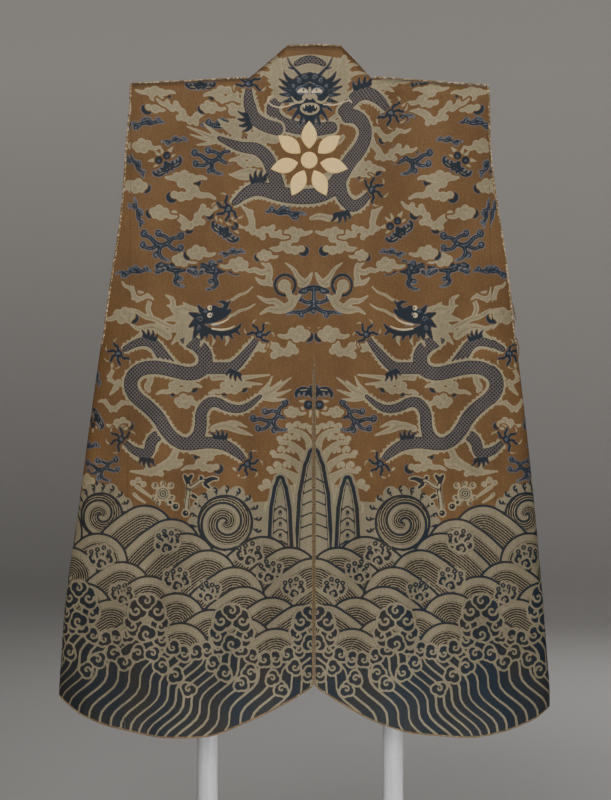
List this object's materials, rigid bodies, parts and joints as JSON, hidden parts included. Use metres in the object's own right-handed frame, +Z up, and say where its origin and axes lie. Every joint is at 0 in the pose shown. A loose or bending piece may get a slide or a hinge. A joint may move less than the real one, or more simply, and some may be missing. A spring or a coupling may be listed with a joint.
{
  "type": "sleeveless surcoat on display stand",
  "caption": "Open-fronted sleeveless silk surcoat with standing collar, flared side gores, back vent and gilt cord edging, hung on a two-post display stand with a flat base.",
  "frame": {"origin": "centre of the whole part's outline, on the floor under the stand's base plate", "axes": "+Z up, -Y out of the back of the garment, +Y out of its open front, -X to the wearer's left"},
  "size_m": [0.737, 0.3, 1.2774],
  "materials": {
    "figured_silk": "satin, figured in navy, cream and gold",
    "plain_silk": "satin",
    "gilt_cord": "twisted, with a metallic glint",
    "cream_cloth": "matt",
    "post_cover": "satin, pale",
    "stand_plate": "smooth, satin paint"
  },
  "bodies": {
    "root": {"back_left": "figured_silk", "back_right": "figured_silk", "gore_back_left": "figured_silk", "gore_back_right": "figured_silk", "front_left": "figured_silk", "front_right": "figured_silk", "gore_front_left": "figured_silk", "gore_front_right": "figured_silk", "collar_band_left": "plain_silk", "collar_band_right": "plain_silk", "hem_cord_left": "gilt_cord", "hem_cord_right": "gilt_cord", "armhole_cord_left": "gilt_cord", "armhole_cord_right": "gilt_cord", "shoulder_cord_left": "gilt_cord", "shoulder_cord_right": "gilt_cord", "collar_cord": "gilt_cord", "petal_1": "cream_cloth", "petal_2": "cream_cloth", "petal_3": "cream_cloth", "petal_4": "cream_cloth", "petal_5": "cream_cloth", "petal_6": "cream_cloth", "petal_7": "cream_cloth", "flower_disc": "cream_cloth", "post_left": "post_cover", "post_right": "post_cover", "shoulder_bar": "post_cover", "stand_base": "stand_plate"}
  },
  "joints": []
}
